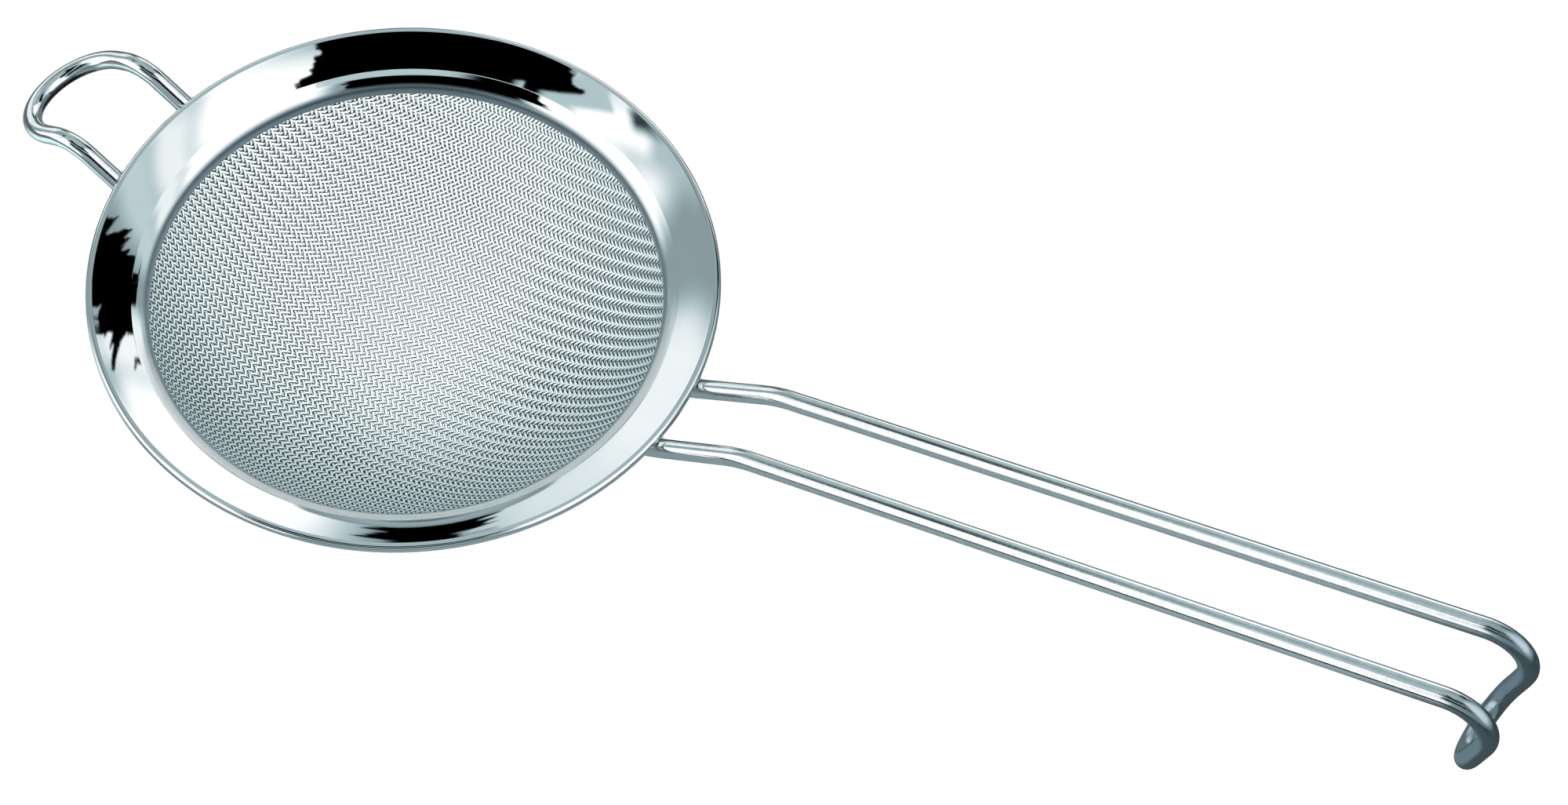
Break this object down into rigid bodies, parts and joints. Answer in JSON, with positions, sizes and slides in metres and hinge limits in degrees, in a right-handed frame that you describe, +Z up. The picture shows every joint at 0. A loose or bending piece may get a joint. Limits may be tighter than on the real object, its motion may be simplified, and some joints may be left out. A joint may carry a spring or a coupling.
{
  "type": "tea strainer",
  "caption": "Stainless tea strainer: woven wire bowl in a wide flanged rim, bent wire handle with a hooked end, and a bent wire rest loop opposite.",
  "frame": {"origin": "centre of the rim, in the plane of the rim's top edge", "axes": "+X from the rim's centre towards the handle, +Z up out of the bowl's mouth"},
  "size_m": [0.2499, 0.0984, 0.0713],
  "materials": {
    "rim_steel": "polished pressed stainless sheet with a fine grain",
    "clamp_steel": "satin pressed stainless sheet",
    "mesh_steel": "2/2 twill woven stainless wire cloth",
    "wire_steel": "polished drawn stainless wire",
    "weld_steel": "bare weld metal, slightly heat tinted"
  },
  "bodies": {
    "root": {"rim": "rim_steel", "clamp_ring": "clamp_steel", "mesh_bowl": "mesh_steel", "handle_wire": "wire_steel", "rest_loop_wire": "wire_steel", "handle_welds": "weld_steel", "rest_loop_welds": "weld_steel"}
  },
  "joints": []
}
